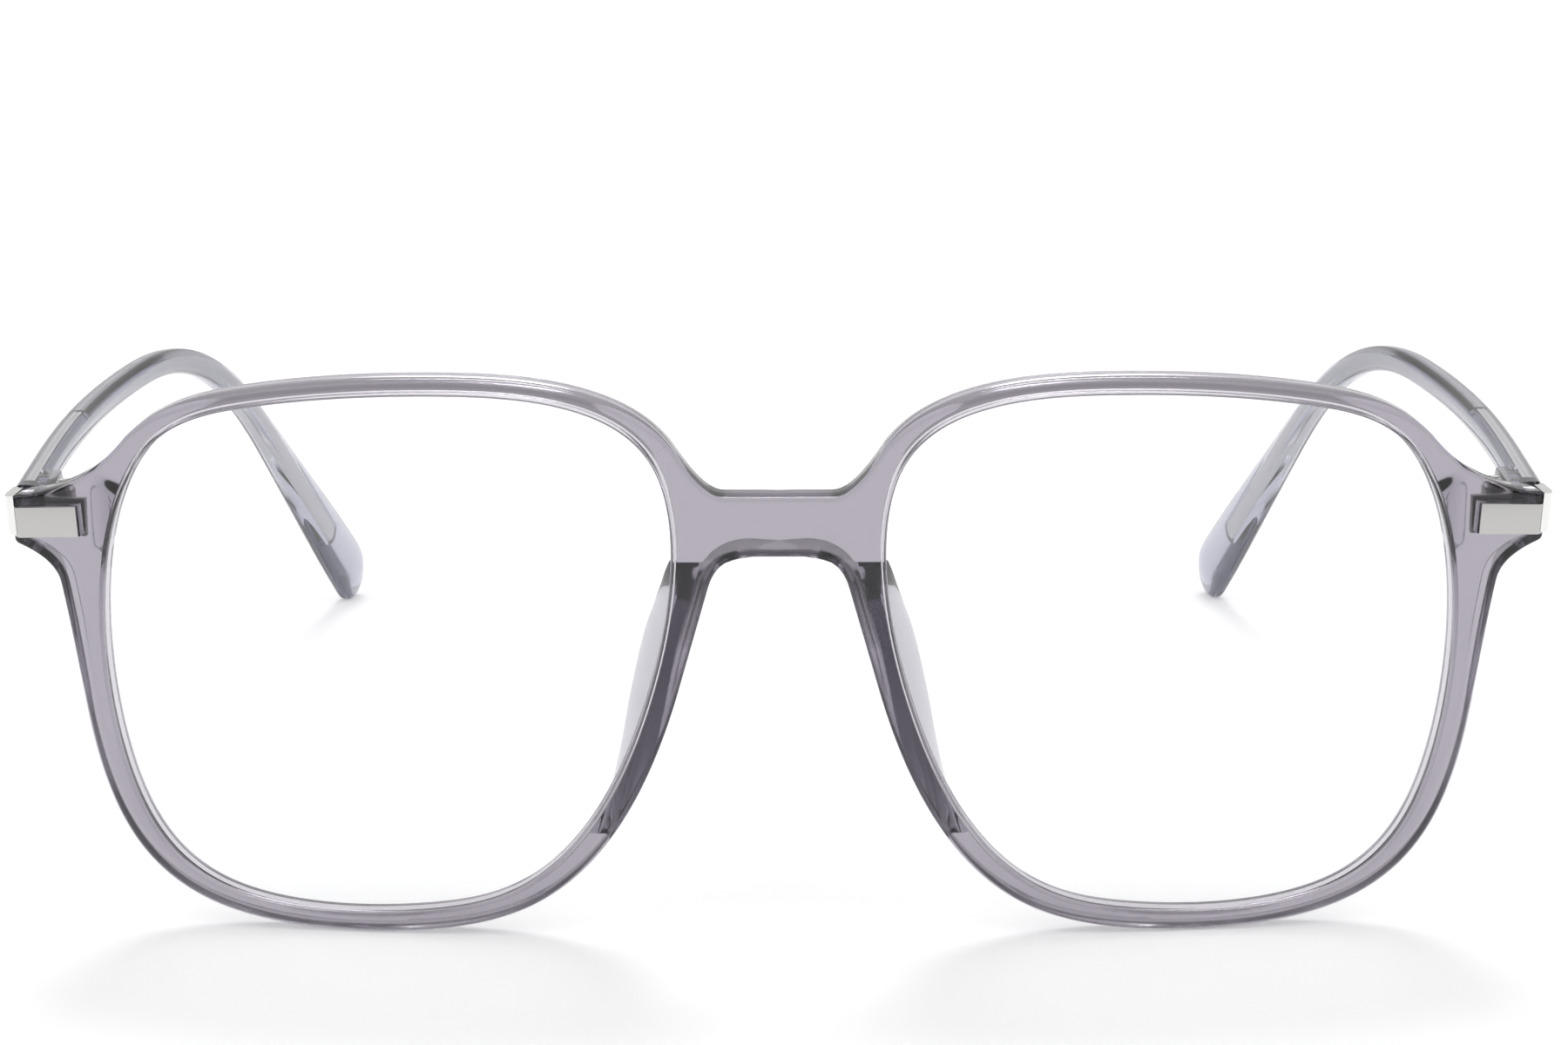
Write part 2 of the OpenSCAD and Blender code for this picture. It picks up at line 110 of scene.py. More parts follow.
trim_inset = 3.3
knuckle_half = 1.15
knuckle_gap = 0.1
hinge_lift = 0.1
joint_pin = np.array(frame["joints"][0]["pos_m"]) / mm
trim_x = end_x - trim_inset
wrap = math.asin(trim_x / front_bend)
trim_face = front_bend - math.sqrt(front_bend**2 - trim_x**2)
pin_side = -0.5
pin_back = front_thick + knuckle_half + knuckle_gap
pin_own = np.array([
    trim_x + pin_side * math.cos(wrap) - pin_back * math.sin(wrap),
    trim_face + pin_side * math.sin(wrap) + pin_back * math.cos(wrap),
    end_z + hinge_lift,
])
lean_turn = np.array([
    [1, 0, 0],
    [0, math.cos(front_lean), -math.sin(front_lean)],
    [0, math.sin(front_lean), math.cos(front_lean)],
])
stand_shift = joint_pin - lean_turn @ pin_own


def stand(points):
    """From the front's own upright frame, in mm, to where the glasses stand, in metres."""
    return (np.asarray(points) @ lean_turn.T + stand_shift) * mm


def bent(x, z, depth):
    """A place on the bent front, at a depth behind its face, still upright and in mm."""
    face = front_bend - np.sqrt(front_bend**2 - x**2)
    turned = np.arcsin(x / front_bend)
    return np.stack([x - depth * np.sin(turned), face + depth * np.cos(turned), z + 0 * x], -1)


def grid_faces(rows, columns, first=0):
    """Four-cornered faces over a grid of points stored column by column."""
    c, r = np.meshgrid(np.arange(columns - 1), np.arange(rows - 1), indexing="ij")
    a = first + (c * rows + r).ravel()
    return np.stack([a, a + rows, a + rows + 1, a + 1], 1)


def mesh_piece(name, points, faces):
    """A new object with its doubles merged and its faces pointing outwards."""
    mesh = bpy.data.meshes.new(name)
    mesh.from_pydata(np.asarray(points).tolist(), [], [list(map(int, f)) for f in faces])
    body = bmesh.new()
    body.from_mesh(mesh)
    bmesh.ops.remove_doubles(body, verts=body.verts, dist=2e-7)
    bmesh.ops.dissolve_degenerate(body, edges=body.edges, dist=1e-7)
    bmesh.ops.recalc_face_normals(body, faces=body.faces)
    body.to_mesh(mesh)
    body.free()
    piece = bpy.data.objects.new(name, mesh)
    bpy.context.scene.collection.objects.link(piece)
    return piece


def settle(piece, sharp=35):
    """Turns an object's modifiers into plain mesh and shades it smooth up to an edge angle."""
    view = bpy.context.evaluated_depsgraph_get()
    done = bpy.data.meshes.new_from_object(piece.evaluated_get(view))
    piece.modifiers.clear()
    piece.data = done
    done.polygons.foreach_set("use_smooth", [True] * len(done.polygons))
    done.set_sharp_from_angle(angle=math.radians(sharp))
    return piece


edge_round = 0.42
front_soft = 0.8
opening_round = 0.28
groove_deep = 0.55
groove_half = 0.8
corner_round = 0.6
u_brow, u_end_top, u_end_low, u_nose = 4.0, 1.0, -0.4, -5.1
u_bridge_low, u_bridge_top, u_close = -5.56, -5.72, -6.0
end_pull = 6.8
neck_pull = 1.45
nose_pull = 3.1
brow_pull = 1.9
low_corner_turn = 1.2


def meet_level(point, along, z):
    """Where the line along a point's way crosses a height."""
    return point + along * (z - point[1]) / along[1]


brow_point = rim_at(u_brow)[0]
nose_point = rim_at(u_nose)[0]
brow_hit = meet_level(brow_point, opening_at(u_brow)[1][0], bridge_top)
nose_hit = meet_level(nose_point, opening_at(u_nose)[1][0], bridge_low)
nose_leg = nose_hit + nose_pull * opening_at(u_nose)[1][0]
top_start = rim_at(u_end_top)[0]
top_pull = top_start - end_pull * opening_at(u_end_top)[1][0]
low_finish = rim_at(u_end_low)[0]
quarter = np.linspace(0, math.pi / 2, 7)[:, None]
top_corner = np.array([end_x - corner_round, end_top - corner_round])
low_corner = np.array([end_x - corner_round, end_low + corner_round])
knee = np.array([end_x - 3.8, end_low - 1.35])
neck = np.array([end_x - 4.2, end_low - 3.5])
low_turn = np.linspace(0, low_corner_turn, 7)[:, None]
low_arc = low_corner + corner_round * np.hstack([np.cos(low_turn), -np.sin(low_turn)])
end_path = np.vstack([
    curve_between(top_start, top_pull, [end_x - corner_round, end_top], 40),
    top_corner + corner_round * np.hstack([np.sin(quarter), np.cos(quarter)]),
    low_arc,
    curve_between(low_arc[-1], knee, neck, 20),
    curve_between(neck, neck + neck_pull * (neck - knee), low_finish, 20),
])
under_path = np.vstack([
    np.linspace(nose_point, nose_leg, 20),
    curve_between(nose_leg, nose_hit, [nose_hit[0] - nose_pull, bridge_low], 20),
    [[0, bridge_low]],
])
over_path = np.vstack([
    [[0, bridge_top]],
    curve_between([brow_hit[0] - brow_pull, bridge_top], brow_hit, brow_point, 20),
])
middle_path = np.array([[0, bridge_low + edge_round], [0, bridge_top - edge_round]])
stretches = [
    (np.linspace(u_brow, u_end_top, 110), None),
    (np.linspace(u_end_top, u_end_low, 100), end_path),
    (np.linspace(u_end_low, u_nose, 170), None),
    (np.linspace(u_nose, u_bridge_low, 50), under_path),
    (np.linspace(u_bridge_low, u_bridge_top, 16), middle_path),
    (np.linspace(u_bridge_top, u_close, 40), over_path),
]
all_u, all_outer, has_wall = [], [], []
for number, (u_list, path) in enumerate(stretches):
    outer = rim_at(u_list) if path is None else spread(path, len(u_list))
    at_bridge = number >= 3
    keep = slice(0, None) if at_bridge else slice(0, -1)
    all_u.append(u_list[keep])
    all_outer.append(outer[keep])
    has_wall.append(np.full(len(u_list[keep]), path is not middle_path))
all_u = np.concatenate(all_u)
all_outer = np.vstack(all_outer)
has_wall = np.concatenate(has_wall)
inner, _, inner_out = opening_at(all_u)


def outline_normals(points):
    """The way out of an open path that runs clockwise."""
    way = np.gradient(points, axis=0)
    way /= np.linalg.norm(way, axis=1)[:, None] + 1e-12
    return np.stack([-way[:, 1], way[:, 0]], 1)


bridge_columns = np.where(~has_wall)[0]
loop = np.vstack([all_outer[bridge_columns[-1] + 1:], all_outer[:bridge_columns[0]]])
loop_out = outline_normals(loop)
loop_out[0] = [0, 1]
loop_out[-1] = [0, -1]
after = len(all_outer) - bridge_columns[-1] - 1
outer_out = np.zeros_like(all_outer)
outer_out[bridge_columns[-1] + 1:] = loop_out[:after]
outer_out[:bridge_columns[0]] = loop_out[after:]
comfort_at = [-6, -5.75, -5.5, -5.2, -4.9, -3, -2.4, -1, -0.4, -0.1, 0.15, 0.25, 0.3, 4]
comfort_wide = [0.42, 0.42, 1.25, 1.25, 0.42, 0.42, 0.8, 0.8, 0.9, 1.2, 1.2, 0.7, 0.42, 0.42]
back_edge = np.interp(all_u, comfort_at, comfort_wide)[:, None]
soft_at = [-6, -3, -2.4, -0.5, 0.1, 1.0, 1.5, 3.6, 4]
soft_share = np.interp(all_u, soft_at, [0, 0, 1, 1, 0, 0, 1, 1, 0])[:, None]
front_edge = edge_round + (front_soft - edge_round) * soft_share
slant = 0.75 - 0.55 * np.interp(all_u, [-3, -2.4, 3.6, 4], [0, 1, 1, 0])[:, None]
face_edge = all_outer - outer_out * front_edge
back_face_edge = all_outer - outer_out * back_edge
first, last = bridge_columns[[0, -1]]
beside_bridge = back_face_edge[[first - 1, last + 1], 1]
back_face_edge[first:last + 1, 1] = np.linspace(*beside_bridge, last + 1 - first)
face_start = inner + inner_out * opening_round


def eased(v):
    """A smooth rise from 0 to 1."""
    v = np.clip(v, 0, 1)
    return v * v * (3 - 2 * v)


block_deep = 1.3
block_side = 62.2
block_foot = end_low - 1.3
block_top = 13.9
block_ramp = 2.4


def hinge_block(x, z, from_opening):
    """How far the moulded block behind the hinge stands out of the back."""
    across = 1 - eased((x - block_side) / block_ramp)
    up_rim = 0.92 * z - 0.38 * x
    upright = eased((z - block_foot) / 1.2) * (1 - eased((up_rim - block_top) / block_ramp))
    past_nose = eased((x - 50) / 4)
    return block_deep * across * upright * past_nose * eased((from_opening - 0.1) / 0.7)


def across_rim(rows, edge):
    """Points over the rim, from the edge of the opening to the outer edge."""
    share = np.linspace(0, 1, rows)[None, :, None]
    return face_start[:, None] + (edge - face_start)[:, None] * share


face_grid = across_rim(7, face_edge)
back_grid = across_rim(37, back_face_edge)
room = np.linalg.norm(back_grid - face_start[:, None], axis=2)
raised = hinge_block(back_grid[..., 0], back_grid[..., 1], room)
front_points = bent(face_grid[..., 0], face_grid[..., 1], 0 * face_grid[..., 0])
back_points = bent(back_grid[..., 0], back_grid[..., 1], front_thick + raised)
turn = np.linspace(0, math.pi / 2, 5)
even = np.linspace(0, 1, 5)
soft_in = (1 - slant) * (1 - np.sin(turn)) + slant * (1 - even)
soft_deep = (1 - slant) * (1 - np.cos(turn)) + slant * even
front_in = front_edge * (1 - np.sin(turn))[None]
front_deep = front_edge * (1 - np.cos(turn))[None]
middle_deep = (front_thick + front_edge - 1.15 * back_edge) / 2
out_offset = np.hstack([front_in, 0 * back_edge, back_edge * soft_in[:, ::-1]])
back_deep = front_thick + raised[:, -1:] - 1.15 * back_edge * soft_deep[:, ::-1]
out_depth = np.hstack([front_deep, middle_deep, back_deep])
wall = all_outer[:, None] - outer_out[:, None] * out_offset[..., None]
wall_points = bent(wall[..., 0], wall[..., 1], out_depth)
in_offset = np.r_[
    opening_round * (1 - np.sin(turn)), 0, groove_deep, groove_deep, 0,
    opening_round * (1 - np.sin(turn[::-1])),
]
groove = [front_thick / 2 - groove_half, front_thick / 2 + groove_half]
in_depth = np.r_[
    opening_round * (1 - np.cos(turn)), groove[0], groove[0], groove[1], groove[1],
    front_thick - opening_round * (1 - np.cos(turn[::-1])),
]
bore = inner[:, None] + inner_out[:, None] * in_offset[None, :, None]
bore_points = bent(bore[..., 0], bore[..., 1], in_depth[None] + 0 * bore[..., 0])
parts, faces, count = [], [], 0


def add_grid(points, closed):
    """Adds a grid of points to the front, in columns round the rim."""
    global count
    if closed:
        points = np.concatenate([points, points[:1]])
    columns, rows = points.shape[:2]
    faces.append(grid_faces(rows, columns, count))
    parts.append(points.reshape(-1, 3))
    count += columns * rows


add_grid(front_points, True)
add_grid(back_points, True)
add_grid(bore_points, True)
order = np.r_[bridge_columns[-1] + 1:len(all_outer), 0:bridge_columns[0]]
add_grid(wall_points[order], False)
half = np.vstack(parts)
half[np.abs(half[:, 0]) < 1e-6, 0] = 0
both = np.vstack([half, half * (-1, 1, 1)])
front = mesh_piece("front_moulding", stand(both), np.vstack(faces + [f + count for f in faces]))


def prism(name, plan, low, high, place, bevel=0.0, steps=3):
    """A block with the given top view, moved by a function that takes points in mm."""
    n = len(plan)
    points = [(x, y, z) for z in (low, high) for x, y in plan]
    walls = [[k, (k + 1) % n, n + (k + 1) % n, n + k] for k in range(n)]
    ends = [list(range(n)), list(range(n, 2 * n))]
    block = mesh_piece(name, place(np.array(points, float)), walls + ends)
    if bevel:
        soft = block.modifiers.new("rounded", "BEVEL")
        soft.width = bevel * mm
        soft.segments = steps
        soft.limit_method = "ANGLE"
        settle(block)
    return block


def at_end(points, tilt=0.0):
    """From the frame of the left endpiece's hardware to the standing glasses."""
    c, s = math.cos(tilt), math.sin(tilt)
    x, y, z = np.asarray(points, float).T
    x, z = x * c + z * s, z * c - x * s
    cw, sw = math.cos(wrap), math.sin(wrap)
    return stand(np.stack([trim_x + x * cw - y * sw, trim_face + x * sw + y * cw, end_z + z], 1))


def mirrored(place):
    """The same place on the right side."""
    return lambda points: place(points) * (-1, 1, 1)


def carve(piece, tools, how="DIFFERENCE"):
    """Cuts the tools out of a piece, or joins them to it, and removes them."""
    for tool in tools:
        cut = piece.modifiers.new("cut", "BOOLEAN")
        cut.operation = how
        cut.solver = "EXACT"
        cut.object = tool
    settle(piece)
    for tool in tools:
        bpy.data.objects.remove(tool)


trim_tilt = math.radians(3.5)
trim_long = 5.9
trim_tall = 2.9
trim_seat = 1.6
trim_proud = 0.35


def trim_plan(grow):
    """The trim bar seen from above, grown a little all round."""
    out = trim_long / 2
    inside = out - 1.2 - grow
    return [
        (-out - grow, -trim_proud - grow), (out - 0.2, -trim_proud - grow), (out + 0.45 + grow, 0.25),
        (out + 0.8 + grow, 1.2), (out + 0.95 + grow, front_thick - 0.05), (inside, front_thick - 0.05),
        (inside, trim_seat + grow), (-out - grow, trim_seat + grow),
    ]


def trim_place(points):
    """From the frame of the left trim bar to the standing glasses."""
    return at_end(points, trim_tilt)


pocket_gap = 0.09
seat_gap = 0.02
end_out = end_x - trim_x
plate_in = end_out - 0.25
plate_low = 0.2 - trim_tall / 2
plate_top = end_tall / 2 + 0.1
plate_pocket_plan = [
    (plate_in - seat_gap, -1), (end_out + 2, -1),
    (end_out + 2, front_thick), (plate_in - seat_gap, front_thick),
]
leaf_plan = [
    (-3.13, 2.42), (0.68, 2.42), (0.68, 3.25), (0.97, 3.25),
    (0.97, 6.0), (-3.17, 6.0), (-3.17, 3.25), (-3.13, 3.25),
]
leaf_low, leaf_high = -1.68, 1.88
pockets = []
for place, leaf_place in ((trim_place, at_end), (mirrored(trim_place), mirrored(at_end))):
    high = trim_tall / 2 + seat_gap
    pocket_plan = trim_plan(pocket_gap)
    leg_side = trim_plan(seat_gap)[5][0]
    seat = trim_seat + seat_gap
    pocket_plan[4] = (pocket_plan[4][0] + 0.2, front_thick + 0.8)
    pocket_plan[5:] = [(leg_side, front_thick + 0.8), (leg_side, seat), (pocket_plan[7][0], seat)]
    pockets.append(prism("pocket", pocket_plan, -high, high, place))
    pockets.append(prism("leaf_pocket", leaf_plan, leaf_low, leaf_high, leaf_place))
    pockets.append(prism("plate_pocket", plate_pocket_plan, plate_low - seat_gap, end_tall, place))
carve(front, pockets)


def clear_plastic(name, tint, absorb, density, rough):
    """Moulded clear plastic: tinted through its depth, with a faint flow pattern and orange peel."""
    material = bpy.data.materials.new(name)
    material.use_nodes = True
    tree = material.node_tree
    shader = tree.nodes["Principled BSDF"]
    shader.inputs["IOR"].default_value = 1.49
    shader.inputs["Transmission Weight"].default_value = 1.0
    place = tree.nodes.new("ShaderNodeTexCoord")
    flow = tree.nodes.new("ShaderNodeTexNoise")
    flow.inputs["Scale"].default_value = 60.0
    flow.inputs["Detail"].default_value = 2.0
    shades = tree.nodes.new("ShaderNodeValToRGB")
    shades.color_ramp.elements[0].color = (*[0.97 * c for c in tint], 1)
    shades.color_ramp.elements[1].color = (*tint, 1)
    polish = tree.nodes.new("ShaderNodeMapRange")
    polish.inputs["To Min"].default_value = rough * 0.6
    polish.inputs["To Max"].default_value = rough * 1.4
    peel = tree.nodes.new("ShaderNodeTexNoise")
    peel.inputs["Scale"].default_value = 260.0
    relief = tree.nodes.new("ShaderNodeBump")
    relief.inputs["Strength"].default_value = 0.04
    relief.inputs["Distance"].default_value = 0.00001
    depth = tree.nodes.new("ShaderNodeVolumeAbsorption")
    depth.inputs["Color"].default_value = (*absorb, 1)
    depth.inputs["Density"].default_value = density
    link = tree.links.new
    link(place.outputs["Object"], flow.inputs["Vector"])
    link(place.outputs["Object"], peel.inputs["Vector"])
    link(flow.outputs["Fac"], shades.inputs["Fac"])
    link(flow.outputs["Fac"], polish.inputs["Value"])
    link(shades.outputs["Color"], shader.inputs["Base Color"])
    link(polish.outputs["Result"], shader.inputs["Roughness"])
    link(peel.outputs["Fac"], relief.inputs["Height"])
    link(relief.outputs["Normal"], shader.inputs["Normal"])
    link(depth.outputs["Volume"], tree.nodes["Material Output"].inputs["Volume"])
    return material


def dress(piece, material):
    """Gives a piece one material on all its faces."""
    piece.data.materials.clear()
    piece.data.materials.append(material)


lilac_plastic = clear_plastic("clear_lilac_plastic", (0.94, 0.925, 0.945), (0.625, 0.605, 0.65), 690.0, 0.12)
dress(front, lilac_plastic)
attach(front, "front")
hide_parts("front_frame")

# The lenses
# Clear plano lenses of cast resin, cut to the shape of the opening and snapped into its groove.
# They carry no tint, so only a soft reflection and their edge show them.
lens_thick = 1.5
lens_lip = 0.5
lens_bevel = 0.12
lens_edge_half = 0.55
lens_columns = 200
lens_rings = 14


def lens_piece(name, side):
    """A lens bent with the front, with a bevel round its edge."""
    point, along, out = opening_at(np.linspace(0, 10, lens_columns + 1))
    edge = point + out * lens_lip
    shrink = np.linspace(1, 0, lens_rings) ** 0.8
    disc = lens_middle + (edge - lens_middle)[:, None] * shrink[None, :, None]
    bevel = point + out * (lens_lip - lens_bevel)
    first = np.concatenate([bevel[:, None], disc[:, 1:]], 1)
    sheets = []
    for depth in (-lens_thick / 2, lens_thick / 2):
        rows = first if depth < 0 else first[:, ::-1]
        sheets.append(bent(rows[..., 0], rows[..., 1], front_thick / 2 + depth + 0 * rows[..., 0]))
    rim = []
    for depth in (-lens_edge_half, lens_edge_half):
        rim.append(bent(edge[:, 0], edge[:, 1], front_thick / 2 + depth + 0 * edge[:, 0])[:, None])
    section = np.concatenate([sheets[0][:, ::-1], rim[0], rim[1], sheets[1][:, ::-1]], 1)
    columns, rows = section.shape[:2]
    points = stand(section.reshape(-1, 3)) * (side, 1, 1)
    return mesh_piece(name, points, grid_faces(rows, columns))


def lens_resin():
    """Polished clear resin with a faint variation in polish, as an uncoated demo lens has."""
    material = bpy.data.materials.new("clear_lens_resin")
    material.use_nodes = True
    tree = material.node_tree
    shader = tree.nodes["Principled BSDF"]
    shader.inputs["IOR"].default_value = 1.5
    shader.inputs["Transmission Weight"].default_value = 1.0
    place = tree.nodes.new("ShaderNodeTexCoord")
    smear = tree.nodes.new("ShaderNodeTexNoise")
    smear.inputs["Scale"].default_value = 35.0
    polish = tree.nodes.new("ShaderNodeMapRange")
    polish.inputs["To Min"].default_value = 0.0
    polish.inputs["To Max"].default_value = 0.02
    tone = tree.nodes.new("ShaderNodeValToRGB")
    tone.color_ramp.elements[0].color = (0.985, 0.99, 0.99, 1)
    tone.color_ramp.elements[1].color = (1, 1, 1, 1)
    link = tree.links.new
    link(place.outputs["Object"], smear.inputs["Vector"])
    link(smear.outputs["Fac"], polish.inputs["Value"])
    link(smear.outputs["Fac"], tone.inputs["Fac"])
    link(polish.outputs["Result"], shader.inputs["Roughness"])
    link(tone.outputs["Color"], shader.inputs["Base Color"])
    return material


clear_resin = lens_resin()
for side, word in ((1, "left"), (-1, "right")):
    lens = settle(lens_piece("clear_lens_" + word, side), 40)
    dress(lens, clear_resin)
    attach(lens, "front")
    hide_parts("lens_" + word)

# The nose pads
# Pale clear fins bonded to the backs of the rims beside the nose, rounded along their edge.
# They reach furthest back halfway down and run out to nothing at both ends.
pad_rows = np.array([
    [-17.4, 7.1, 0.06], [-14.6, 6.2, 0.32], [-11.8, 5.45, 0.53], [-9, 4.85, 0.72], [-6.2, 4.35, 0.86],
    [-3.6, 3.8, 0.95], [-1.2, 3.25, 1], [1.2, 2.6, 0.98], [3.4, 1.85, 0.88], [4.6, 1.5, 0.77],
    [6, 1.1, 0.58], [7.6, 0.7, 0.3], [9.2, 0.2, 0.02],
])
pad_deep = 7.0
pad_thick = 1.3
pad_root = 2.3
pad_gap = 0.05
pad_levels = np.linspace(pad_rows[0, 0], pad_rows[-1, 0], 48)


def smooth_between(x, known_x, known_y):
    """A smooth curve through the known values."""
    slope = np.gradient(known_y, known_x)
    k = np.clip(np.searchsorted(known_x, x, side="right") - 1, 0, len(known_x) - 2)
    gap = known_x[k + 1] - known_x[k]
    t = (x - known_x[k]) / gap
    value = (2 * t**3 - 3 * t**2 + 1) * known_y[k] + (3 * t**2 - 2 * t**3) * known_y[k + 1]
    return value + gap * ((t**3 - 2 * t**2 + t) * slope[k] + (t**3 - t**2) * slope[k + 1])


def nose_edge(z):
    """How far the rim's nose edge is from the middle at a height."""
    lower = rim_at(np.linspace(4.9, 6.9, 60))
    way = opening_at(4.9)[1][0]
    upper = lower[0, 0] + way[0] / way[1] * (z - lower[0, 1])
    return np.where(z > lower[0, 1], upper, np.interp(z, lower[::-1, 1], lower[::-1, 0]))


def pad_piece(name, side):
    """A fin that is built up of level slices, each a rounded wedge behind the rim."""
    rings = []
    for level in pad_levels:
        z = lens_middle[1] + level
        reach = float(smooth_between(np.array([level]), pad_rows[:, 0], pad_rows[:, 1])[0])
        part = float(smooth_between(np.array([level]), pad_rows[:, 0], pad_rows[:, 2])[0])
        x = float(nose_edge(np.array([z]))[0]) + 0.15
        root = x + pad_root
        tip = bridge_wide / 2 + reach
        deep = pad_deep * part
        t = pad_thick * (0.4 + 0.6 * part)
        back = [front_bend - math.sqrt((front_bend - front_thick) ** 2 - v * v) + pad_gap for v in (x, root)]
        corners = np.array([
            (x, back[0]),
            (x + 0.4 * (tip - t - x), back[0] + 0.5 * deep),
            (tip - 1.05 * t, back[0] + deep - 0.3 * t),
            (tip - 0.6 * t, back[0] + deep),
            (tip - 0.15 * t, back[0] + deep - 0.15 * t),
            (tip, back[0] + deep - 0.6 * t),
            (root + 0.45 * (tip - root), back[1] + 0.4 * deep),
            (root, back[1]),
        ])
        bends = [corners[0], *((corners[1:6] + corners[2:7]) / 2), corners[7]]
        ring = [curve_between(bends[k], corners[k + 1], bends[k + 1], 6)[:-1] for k in range(6)]
        ring = np.vstack([*ring, corners[7:]])
        rings.append(np.column_stack([ring, np.full(len(ring), z)]))
    rings = np.array(rings)
    n = rings.shape[1]
    closed = np.concatenate([rings, rings[:, :1]], 1)
    points = stand(closed.reshape(-1, 3)) * (side, 1, 1)
    faces = grid_faces(n + 1, len(rings)).tolist()
    last_ring = (len(rings) - 1) * (n + 1)
    faces += [list(range(n)), list(range(last_ring, last_ring + n))]
    return mesh_piece(name, points, faces)


pale_plastic = clear_plastic("pale_clear_plastic", (0.68, 0.675, 0.7), (0.62, 0.6, 0.66), 560.0, 0.06)
for side, word in ((1, "left"), (-1, "right")):
    pad = settle(pad_piece("nose_fin_" + word, side), 60)
    dress(pad, pale_plastic)
    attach(pad, "front")
    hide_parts("nose_pad_" + word)

# The metal trims
# Satin bars of bright metal, set in pockets at the ends of the front and bent round its corners. Their end
# faces are finer polished and also coloured lighter than the front, a painted highlight for the brighter
# light that falls on that side.
# Two rivets through the plastic tie each of them to the hinge behind it.


def worked_metal(name, colour, rough, grain, along):
    """Metal with a fine grain along one axis and small changes in tone and polish."""
    material = bpy.data.materials.new(name)
    material.use_nodes = True
    tree = material.node_tree
    shader = tree.nodes["Principled BSDF"]
    shader.inputs["Metallic"].default_value = 1.0
    place = tree.nodes.new("ShaderNodeTexCoord")
    stretch = tree.nodes.new("ShaderNodeMapping")
    stretch.inputs["Scale"].default_value = [60.0 if k == along else grain for k in range(3)]
    lines = tree.nodes.new("ShaderNodeTexNoise")
    lines.inputs["Scale"].default_value = 1.0
    lines.inputs["Detail"].default_value = 3.0
    tone = tree.nodes.new("ShaderNodeValToRGB")
    tone.color_ramp.elements[0].color = (*[0.9 * c for c in colour], 1)
    tone.color_ramp.elements[1].color = (*colour, 1)
    polish = tree.nodes.new("ShaderNodeMapRange")
    polish.inputs["To Min"].default_value = rough * 0.8
    polish.inputs["To Max"].default_value = rough * 1.25
    relief = tree.nodes.new("ShaderNodeBump")
    relief.inputs["Strength"].default_value = 0.05
    relief.inputs["Distance"].default_value = 0.00001
    link = tree.links.new
    link(place.outputs["Object"], stretch.inputs["Vector"])
    link(stretch.outputs["Vector"], lines.inputs["Vector"])
    link(lines.outputs["Fac"], tone.inputs["Fac"])
    link(lines.outputs["Fac"], polish.inputs["Value"])
    link(lines.outputs["Fac"], relief.inputs["Height"])
    link(tone.outputs["Color"], shader.inputs["Base Color"])
    link(polish.outputs["Result"], shader.inputs["Roughness"])
    link(relief.outputs["Normal"], shader.inputs["Normal"])
    return material


satin_trim = worked_metal("satin_trim_metal", (0.53, 0.525, 0.51), 0.24, 5000.0, 0)
plate_plan = [
    (plate_in, -0.1), (end_out + 0.35, -0.1), (end_out + 0.7, 0.3), (end_out + 0.85, 1.2),
    (end_out + 0.85, front_thick - 0.05), (plate_in, front_thick - 0.05),
]
# Lighter colour for the trims' end faces: a painted highlight for the light they catch from the side,
# together with a real finer polish (lower roughness).
polished_edge_painted_light = worked_metal("polished_trim_edge_painted_light", (0.86, 0.86, 0.84), 0.14, 5000.0, 2)
for place, word in ((trim_place, "left"), (mirrored(trim_place), "right")):
    trim = prism("end_trim_" + word, trim_plan(0), -trim_tall / 2, trim_tall / 2, place)
    carve(trim, [prism("side_plate", plate_plan, plate_low, plate_top, place)], "UNION")
    soft = trim.modifiers.new("rounded", "BEVEL")
    soft.width = 0.15 * mm
    soft.segments = 4
    soft.limit_method = "ANGLE"
    settle(trim)
    dress(trim, satin_trim)
    trim.data.materials.append(polished_edge_painted_light)
    # Faces past the end face take the lighter colour, so the bar's end carries the painted highlight.
    end_face = place([[end_out - 0.05, 0, 0]])[0, 0]
    for face in trim.data.polygons:
        face.material_index = int(abs(face.center[0]) > abs(end_face))
    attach(trim, "front")
    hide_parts("trim_" + word)

# The hinges, their screws and rivets
# Each barrel hinge has five knuckles of tumbled nickel alloy on one slotted steel screw.
# Rivets of the same alloy hold its leaves to the endpiece and to the temple.
tumbled_alloy = worked_metal("tumbled_hinge_alloy", (0.42, 0.41, 0.39), 0.32, 2500.0, 2)
bright_steel = worked_metal("bright_screw_steel", (0.76, 0.76, 0.75), 0.15, 4000.0, 2)
for word in ("left", "right"):
    for node in ("front_hinge_", "temple_hinge_", "front_rivets_", "temple_rivets_"):
        dress(frame["nodes"][node + word], tumbled_alloy)
    dress(frame["nodes"]["hinge_screw_" + word], bright_steel)

# The temples
# Slim arms of the same clear plastic, moulded over a metal core, with a block at the joint.
# They run straight back, bend down behind the ear and widen to a flat rounded tip.
arm_long = 140.0
arm_wide = 2.8
arm_tall = 2.8
tip_tall = 7.2
tip_wide = 2.4
arm_drop = 0.5
ear_bend = 41.5
ear_from, ear_over = 59, 48
arm_splay = 1.8
arm_curve = 18.3
curve_from, curve_over = 10.5, 92.5
arm_outside = 0.55
arm_above = 0.1
arm_own = np.array([end_x + arm_outside - arm_wide / 2, 0, end_top + arm_above - arm_tall / 2])
arm_own[1] = front_bend - math.sqrt((front_bend - front_thick) ** 2 - arm_own[0] ** 2) - 0.8
arm_start = lean_turn @ arm_own


walk = np.linspace(0, arm_long, 701)


